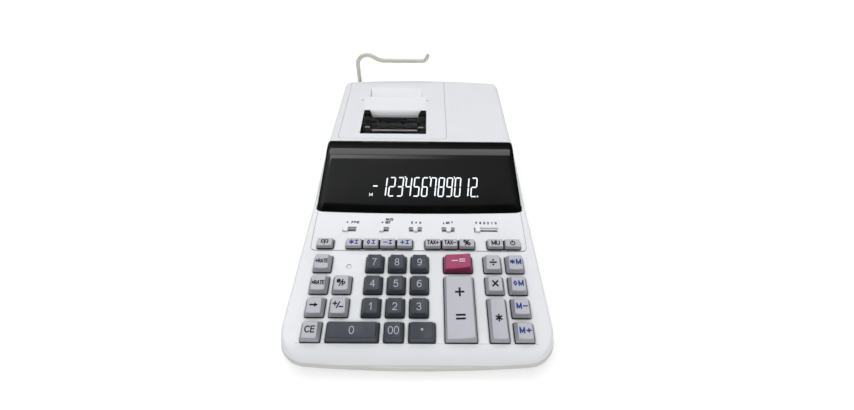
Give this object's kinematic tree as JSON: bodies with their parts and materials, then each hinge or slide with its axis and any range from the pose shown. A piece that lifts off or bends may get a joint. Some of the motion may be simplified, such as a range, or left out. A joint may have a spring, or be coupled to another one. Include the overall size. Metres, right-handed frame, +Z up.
{
  "type": "desktop printing calculator",
  "caption": "Wedge-shaped desktop calculator with a raised keypad, glossy black display hood, built-in paper printer under a lift-off lid and a wire paper-roll arm.",
  "frame": {"origin": "on the desk, under the middle of the box round the whole object with its paper arm raised", "axes": "+X to the operator's right, +Y to the back of the machine, +Z up"},
  "size_m": [0.2226, 0.3384, 0.1049],
  "materials": {
    "case_white": "fine texture, cool white",
    "case_grey": "fine texture, warm grey",
    "bezel_black": "polished",
    "module_black": "plain",
    "board_green": "solder mask",
    "mat_rubber": "silicone",
    "frame_black": "satin",
    "drum_grey": "satin",
    "roller_rubber": "ground",
    "core_steel": "varnished laminations",
    "foot_rubber": "moulded",
    "screw_steel": "zinc plated",
    "arm_beige": "coated wire",
    "smoked_clear": "smoked clear plastic",
    "key_dark": "satin",
    "key_light": "satin",
    "key_pink": "satin"
  },
  "bodies": {
    "case": {"upper_case": "case_white", "lower_case": "case_grey", "display_bezel": "bezel_black", "display_module": "module_black", "main_board": "board_green", "key_mat": "mat_rubber", "key_guide_plate": "frame_black", "printer_frame": "frame_black", "power_transformer": "core_steel", "rubber_feet": "foot_rubber", "case_screws": "screw_steel"},
    "printer_lid": {"printer_cover": "case_white", "tear_bar": "smoked_clear"},
    "arm": {"paper_arm": "arm_beige"},
    "drum": {"print_drum": "drum_grey"},
    "roller": {"feed_roller": "roller_rubber"},
    "spool_left": {"ribbon_spool_left": "frame_black"},
    "spool_right": {"ribbon_spool_right": "frame_black"},
    "key_0_body": {"key_0": "key_dark"},
    "key_00_body": {"key_00": "key_dark"},
    "key_1_body": {"key_1": "key_dark"},
    "key_2_body": {"key_2": "key_dark"},
    "key_3_body": {"key_3": "key_dark"},
    "key_4_body": {"key_4": "key_dark"},
    "key_5_body": {"key_5": "key_dark"},
    "key_6_body": {"key_6": "key_dark"},
    "key_7_body": {"key_7": "key_dark"},
    "key_8_body": {"key_8": "key_dark"},
    "key_9_body": {"key_9": "key_dark"},
    "key_clear_body": {"key_clear": "key_light"},
    "key_divide_body": {"key_divide": "key_light"},
    "key_feed_body": {"key_feed": "key_light"},
    "key_grand_minus_body": {"key_grand_minus": "key_light"},
    "key_grand_plus_body": {"key_grand_plus": "key_light"},
    "key_grand_subtotal_body": {"key_grand_subtotal": "key_light"},
    "key_grand_total_body": {"key_grand_total": "key_light"},
    "key_markup_body": {"key_markup": "key_light"},
    "key_memory_minus_body": {"key_memory_minus": "key_light"},
    "key_memory_plus_body": {"key_memory_plus": "key_light"},
    "key_memory_subtotal_body": {"key_memory_subtotal": "key_light"},
    "key_memory_total_body": {"key_memory_total": "key_light"},
    "key_minus_equals_body": {"key_minus_equals": "key_pink"},
    "key_percent_body": {"key_percent": "key_light"},
    "key_plus_equals_body": {"key_plus_equals": "key_light"},
    "key_point_body": {"key_point": "key_dark"},
    "key_power_body": {"key_power": "key_light"},
    "key_print_date_body": {"key_print_date": "key_light"},
    "key_rate_divide_body": {"key_rate_divide": "key_light"},
    "key_rate_times_body": {"key_rate_times": "key_light"},
    "key_shift_body": {"key_shift": "key_light"},
    "key_sign_body": {"key_sign": "key_light"},
    "key_tax_minus_body": {"key_tax_minus": "key_light"},
    "key_tax_plus_body": {"key_tax_plus": "key_light"},
    "key_times_body": {"key_times": "key_light"},
    "key_total_body": {"key_total": "key_light"},
    "switch_constant_body": {"switch_constant": "case_white"},
    "switch_decimal_body": {"switch_decimal": "case_white"},
    "switch_print_body": {"switch_print": "case_white"},
    "switch_rate_body": {"switch_rate": "case_white"},
    "switch_rounding_body": {"switch_rounding": "case_white"}
  },
  "joints": [
    {"name": "lid_lift_off", "type": "slide", "parent": "case", "child": "printer_lid", "axis": [0, 0, 1], "range_m": [0, 0.06]},
    {"name": "arm_fold", "type": "hinge", "parent": "case", "child": "arm", "pos_m": [-0.066, 0.16425, 0.05], "axis": [-1, 0, 0], "range_deg": [0, 95]},
    {"name": "drum_spin", "type": "hinge", "parent": "case", "child": "drum", "pos_m": [-0.0285, 0.06225, 0.052], "axis": [1, 0, 0], "continuous": true},
    {"name": "roller_spin", "type": "hinge", "parent": "case", "child": "roller", "pos_m": [-0.0285, 0.08225, 0.0565], "axis": [1, 0, 0], "continuous": true},
    {"name": "spool_left_spin", "type": "hinge", "parent": "case", "child": "spool_left", "pos_m": [-0.0735, 0.06025, 0.055], "axis": [0, 0, 1], "continuous": true},
    {"name": "spool_right_spin", "type": "hinge", "parent": "case", "child": "spool_right", "pos_m": [0.0165, 0.06025, 0.055], "axis": [0, 0, 1], "continuous": true},
    {"name": "key_0_press", "type": "slide", "parent": "case", "child": "key_0_body", "axis": [0, 0.1599, -0.9871], "range_m": [0, 0.003], "stiffness_N_per_m": 250, "springref_m": -0.002, "deforming": ["key_mat"]},
    {"name": "key_00_press", "type": "slide", "parent": "case", "child": "key_00_body", "axis": [0, 0.1599, -0.9871], "range_m": [0, 0.003], "stiffness_N_per_m": 250, "springref_m": -0.002, "deforming": ["key_mat"]},
    {"name": "key_1_press", "type": "slide", "parent": "case", "child": "key_1_body", "axis": [0, 0.1599, -0.9871], "range_m": [0, 0.003], "stiffness_N_per_m": 250, "springref_m": -0.002, "deforming": ["key_mat"]},
    {"name": "key_2_press", "type": "slide", "parent": "case", "child": "key_2_body", "axis": [0, 0.1599, -0.9871], "range_m": [0, 0.003], "stiffness_N_per_m": 250, "springref_m": -0.002, "deforming": ["key_mat"]},
    {"name": "key_3_press", "type": "slide", "parent": "case", "child": "key_3_body", "axis": [0, 0.1599, -0.9871], "range_m": [0, 0.003], "stiffness_N_per_m": 250, "springref_m": -0.002, "deforming": ["key_mat"]},
    {"name": "key_4_press", "type": "slide", "parent": "case", "child": "key_4_body", "axis": [0, 0.1599, -0.9871], "range_m": [0, 0.003], "stiffness_N_per_m": 250, "springref_m": -0.002, "deforming": ["key_mat"]},
    {"name": "key_5_press", "type": "slide", "parent": "case", "child": "key_5_body", "axis": [0, 0.1599, -0.9871], "range_m": [0, 0.003], "stiffness_N_per_m": 250, "springref_m": -0.002, "deforming": ["key_mat"]},
    {"name": "key_6_press", "type": "slide", "parent": "case", "child": "key_6_body", "axis": [0, 0.1599, -0.9871], "range_m": [0, 0.003], "stiffness_N_per_m": 250, "springref_m": -0.002, "deforming": ["key_mat"]},
    {"name": "key_7_press", "type": "slide", "parent": "case", "child": "key_7_body", "axis": [0, 0.1599, -0.9871], "range_m": [0, 0.003], "stiffness_N_per_m": 250, "springref_m": -0.002, "deforming": ["key_mat"]},
    {"name": "key_8_press", "type": "slide", "parent": "case", "child": "key_8_body", "axis": [0, 0.1599, -0.9871], "range_m": [0, 0.003], "stiffness_N_per_m": 250, "springref_m": -0.002, "deforming": ["key_mat"]},
    {"name": "key_9_press", "type": "slide", "parent": "case", "child": "key_9_body", "axis": [0, 0.1599, -0.9871], "range_m": [0, 0.003], "stiffness_N_per_m": 250, "springref_m": -0.002, "deforming": ["key_mat"]},
    {"name": "key_clear_press", "type": "slide", "parent": "case", "child": "key_clear_body", "axis": [0, 0.1599, -0.9871], "range_m": [0, 0.003], "stiffness_N_per_m": 250, "springref_m": -0.002, "deforming": ["key_mat"]},
    {"name": "key_divide_press", "type": "slide", "parent": "case", "child": "key_divide_body", "axis": [0, 0.1599, -0.9871], "range_m": [0, 0.003], "stiffness_N_per_m": 250, "springref_m": -0.002, "deforming": ["key_mat"]},
    {"name": "key_feed_press", "type": "slide", "parent": "case", "child": "key_feed_body", "axis": [0, 0.1599, -0.9871], "range_m": [0, 0.002], "stiffness_N_per_m": 250, "springref_m": -0.002, "deforming": ["key_mat"]},
    {"name": "key_grand_minus_press", "type": "slide", "parent": "case", "child": "key_grand_minus_body", "axis": [0, 0.1599, -0.9871], "range_m": [0, 0.002], "stiffness_N_per_m": 250, "springref_m": -0.002, "deforming": ["key_mat"]},
    {"name": "key_grand_plus_press", "type": "slide", "parent": "case", "child": "key_grand_plus_body", "axis": [0, 0.1599, -0.9871], "range_m": [0, 0.002], "stiffness_N_per_m": 250, "springref_m": -0.002, "deforming": ["key_mat"]},
    {"name": "key_grand_subtotal_press", "type": "slide", "parent": "case", "child": "key_grand_subtotal_body", "axis": [0, 0.1599, -0.9871], "range_m": [0, 0.002], "stiffness_N_per_m": 250, "springref_m": -0.002, "deforming": ["key_mat"]},
    {"name": "key_grand_total_press", "type": "slide", "parent": "case", "child": "key_grand_total_body", "axis": [0, 0.1599, -0.9871], "range_m": [0, 0.002], "stiffness_N_per_m": 250, "springref_m": -0.002, "deforming": ["key_mat"]},
    {"name": "key_markup_press", "type": "slide", "parent": "case", "child": "key_markup_body", "axis": [0, 0.1599, -0.9871], "range_m": [0, 0.002], "stiffness_N_per_m": 250, "springref_m": -0.002, "deforming": ["key_mat"]},
    {"name": "key_memory_minus_press", "type": "slide", "parent": "case", "child": "key_memory_minus_body", "axis": [0, 0.1599, -0.9871], "range_m": [0, 0.003], "stiffness_N_per_m": 250, "springref_m": -0.002, "deforming": ["key_mat"]},
    {"name": "key_memory_plus_press", "type": "slide", "parent": "case", "child": "key_memory_plus_body", "axis": [0, 0.1599, -0.9871], "range_m": [0, 0.003], "stiffness_N_per_m": 250, "springref_m": -0.002, "deforming": ["key_mat"]},
    {"name": "key_memory_subtotal_press", "type": "slide", "parent": "case", "child": "key_memory_subtotal_body", "axis": [0, 0.1599, -0.9871], "range_m": [0, 0.003], "stiffness_N_per_m": 250, "springref_m": -0.002, "deforming": ["key_mat"]},
    {"name": "key_memory_total_press", "type": "slide", "parent": "case", "child": "key_memory_total_body", "axis": [0, 0.1599, -0.9871], "range_m": [0, 0.003], "stiffness_N_per_m": 250, "springref_m": -0.002, "deforming": ["key_mat"]},
    {"name": "key_minus_equals_press", "type": "slide", "parent": "case", "child": "key_minus_equals_body", "axis": [0, 0.1599, -0.9871], "range_m": [0, 0.003], "stiffness_N_per_m": 250, "springref_m": -0.002, "deforming": ["key_mat"]},
    {"name": "key_percent_press", "type": "slide", "parent": "case", "child": "key_percent_body", "axis": [0, 0.1599, -0.9871], "range_m": [0, 0.002], "stiffness_N_per_m": 250, "springref_m": -0.002, "deforming": ["key_mat"]},
    {"name": "key_plus_equals_press", "type": "slide", "parent": "case", "child": "key_plus_equals_body", "axis": [0, 0.1599, -0.9871], "range_m": [0, 0.003], "stiffness_N_per_m": 250, "springref_m": -0.002, "deforming": ["key_mat"]},
    {"name": "key_point_press", "type": "slide", "parent": "case", "child": "key_point_body", "axis": [0, 0.1599, -0.9871], "range_m": [0, 0.003], "stiffness_N_per_m": 250, "springref_m": -0.002, "deforming": ["key_mat"]},
    {"name": "key_power_press", "type": "slide", "parent": "case", "child": "key_power_body", "axis": [0, 0.1599, -0.9871], "range_m": [0, 0.002], "stiffness_N_per_m": 250, "springref_m": -0.002, "deforming": ["key_mat"]},
    {"name": "key_print_date_press", "type": "slide", "parent": "case", "child": "key_print_date_body", "axis": [0, 0.1599, -0.9871], "range_m": [0, 0.003], "stiffness_N_per_m": 250, "springref_m": -0.002, "deforming": ["key_mat"]},
    {"name": "key_rate_divide_press", "type": "slide", "parent": "case", "child": "key_rate_divide_body", "axis": [0, 0.1599, -0.9871], "range_m": [0, 0.003], "stiffness_N_per_m": 250, "springref_m": -0.002, "deforming": ["key_mat"]},
    {"name": "key_rate_times_press", "type": "slide", "parent": "case", "child": "key_rate_times_body", "axis": [0, 0.1599, -0.9871], "range_m": [0, 0.003], "stiffness_N_per_m": 250, "springref_m": -0.002, "deforming": ["key_mat"]},
    {"name": "key_shift_press", "type": "slide", "parent": "case", "child": "key_shift_body", "axis": [0, 0.1599, -0.9871], "range_m": [0, 0.003], "stiffness_N_per_m": 250, "springref_m": -0.002, "deforming": ["key_mat"]},
    {"name": "key_sign_press", "type": "slide", "parent": "case", "child": "key_sign_body", "axis": [0, 0.1599, -0.9871], "range_m": [0, 0.003], "stiffness_N_per_m": 250, "springref_m": -0.002, "deforming": ["key_mat"]},
    {"name": "key_tax_minus_press", "type": "slide", "parent": "case", "child": "key_tax_minus_body", "axis": [0, 0.1599, -0.9871], "range_m": [0, 0.002], "stiffness_N_per_m": 250, "springref_m": -0.002, "deforming": ["key_mat"]},
    {"name": "key_tax_plus_press", "type": "slide", "parent": "case", "child": "key_tax_plus_body", "axis": [0, 0.1599, -0.9871], "range_m": [0, 0.002], "stiffness_N_per_m": 250, "springref_m": -0.002, "deforming": ["key_mat"]},
    {"name": "key_times_press", "type": "slide", "parent": "case", "child": "key_times_body", "axis": [0, 0.1599, -0.9871], "range_m": [0, 0.003], "stiffness_N_per_m": 250, "springref_m": -0.002, "deforming": ["key_mat"]},
    {"name": "key_total_press", "type": "slide", "parent": "case", "child": "key_total_body", "axis": [0, 0.1599, -0.9871], "range_m": [0, 0.003], "stiffness_N_per_m": 250, "springref_m": -0.002, "deforming": ["key_mat"]},
    {"name": "switch_constant_slide", "type": "slide", "parent": "case", "child": "switch_constant_body", "axis": [1, 0, 0], "range_m": [-0.0038, 0.0038]},
    {"name": "switch_decimal_slide", "type": "slide", "parent": "case", "child": "switch_decimal_body", "axis": [1, 0, 0], "range_m": [0, 0.0165]},
    {"name": "switch_print_slide", "type": "slide", "parent": "case", "child": "switch_print_body", "axis": [1, 0, 0], "range_m": [0, 0.007]},
    {"name": "switch_rate_slide", "type": "slide", "parent": "case", "child": "switch_rate_body", "axis": [1, 0, 0], "range_m": [0, 0.0045]},
    {"name": "switch_rounding_slide", "type": "slide", "parent": "case", "child": "switch_rounding_body", "axis": [1, 0, 0], "range_m": [-0.004, 0.0035]}
  ],
  "couplings": [
    {"joint": "spool_right_spin", "follows": "spool_left_spin", "ratio": 1}
  ]
}
